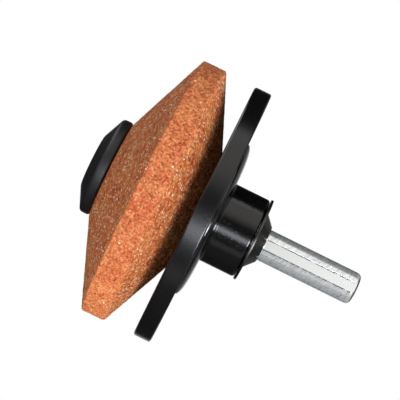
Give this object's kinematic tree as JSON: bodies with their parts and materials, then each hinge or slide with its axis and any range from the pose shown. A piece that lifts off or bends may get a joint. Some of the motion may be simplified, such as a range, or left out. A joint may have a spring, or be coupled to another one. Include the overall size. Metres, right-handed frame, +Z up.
{
  "type": "garden tool sharpener",
  "caption": "Drill-driven garden tool sharpener: a double-cone grinding stone on a three-flat spindle, with a free-turning guide disc that holds the blade's angle.",
  "frame": {"origin": "centre of the shank's end face, where it goes into the drill", "axes": "+X along the spindle from the stone towards the drill, +Z up, and one of the shank's three flats faces -Y"},
  "size_m": [0.0527, 0.05, 0.05],
  "materials": {
    "abrasive": "coarse bonded grit, orange",
    "black_plastic": "moulded, satin",
    "zinc_steel": "bright zinc plate",
    "spring_steel": "blackened, oiled",
    "fibre": "pressed fibre",
    "nylon": "natural, moulded",
    "bronze": "sintered"
  },
  "bodies": {
    "spindle": {"drive_spindle": "zinc_steel", "front_cap": "black_plastic", "grinding_stone": "abrasive", "stone_bush": "nylon", "front_washer": "zinc_steel", "front_blotter": "fibre", "rear_blotter": "fibre", "rear_flange": "zinc_steel", "spacer_tube": "zinc_steel", "thrust_washer": "nylon", "star_washer": "spring_steel"},
    "guide": {"guide_disc": "black_plastic", "guide_bush_front": "bronze", "guide_bush_rear": "bronze"}
  },
  "joints": [
    {"name": "guide_spin", "type": "hinge", "parent": "spindle", "child": "guide", "pos_m": [-0.0255, 0, 0], "axis": [1, 0, 0], "continuous": true}
  ]
}
